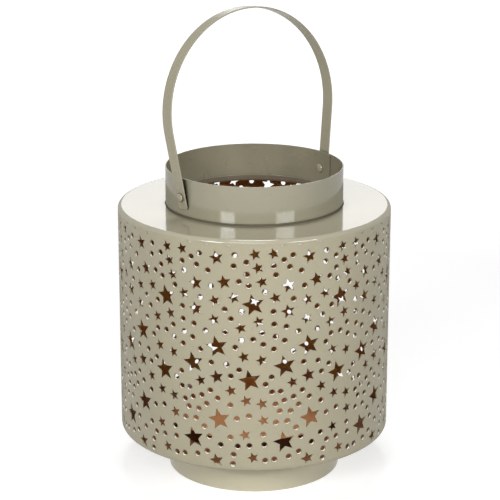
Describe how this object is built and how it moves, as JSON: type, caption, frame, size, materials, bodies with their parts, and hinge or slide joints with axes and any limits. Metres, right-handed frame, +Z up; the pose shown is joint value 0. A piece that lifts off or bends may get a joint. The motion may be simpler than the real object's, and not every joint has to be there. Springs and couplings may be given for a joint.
{
  "type": "punched tin lantern",
  "caption": "Round perforated sheet lantern with star and dot holes, an open collar, a foot ring and a strap handle that folds down on two rivets.",
  "frame": {"origin": "centre of the foot ring, on the table", "axes": "+Z up through the collar and handle; the handle turns about X; -Y is the front"},
  "size_m": [0.18, 0.18, 0.3105],
  "materials": {
    "paint_shell": "gloss",
    "paint_gloss": "gloss",
    "paint_inside": "satin",
    "paint_rivet": "gloss",
    "paint_strap": "gloss"
  },
  "bodies": {
    "lantern": {"drum_shell": "paint_shell", "top_plate": "paint_gloss", "bottom_plate": "paint_inside", "candle_ring": "paint_inside", "foot_ring": "paint_gloss", "collar": "paint_gloss", "left_rivet": "paint_rivet", "right_rivet": "paint_rivet"},
    "handle": {"handle_strap": "paint_strap"}
  },
  "joints": [
    {"name": "handle_swing", "type": "hinge", "parent": "lantern", "child": "handle", "pos_m": [0, 0, 0.1955], "axis": [1, 0, 0], "range_deg": [-93, 103]}
  ]
}
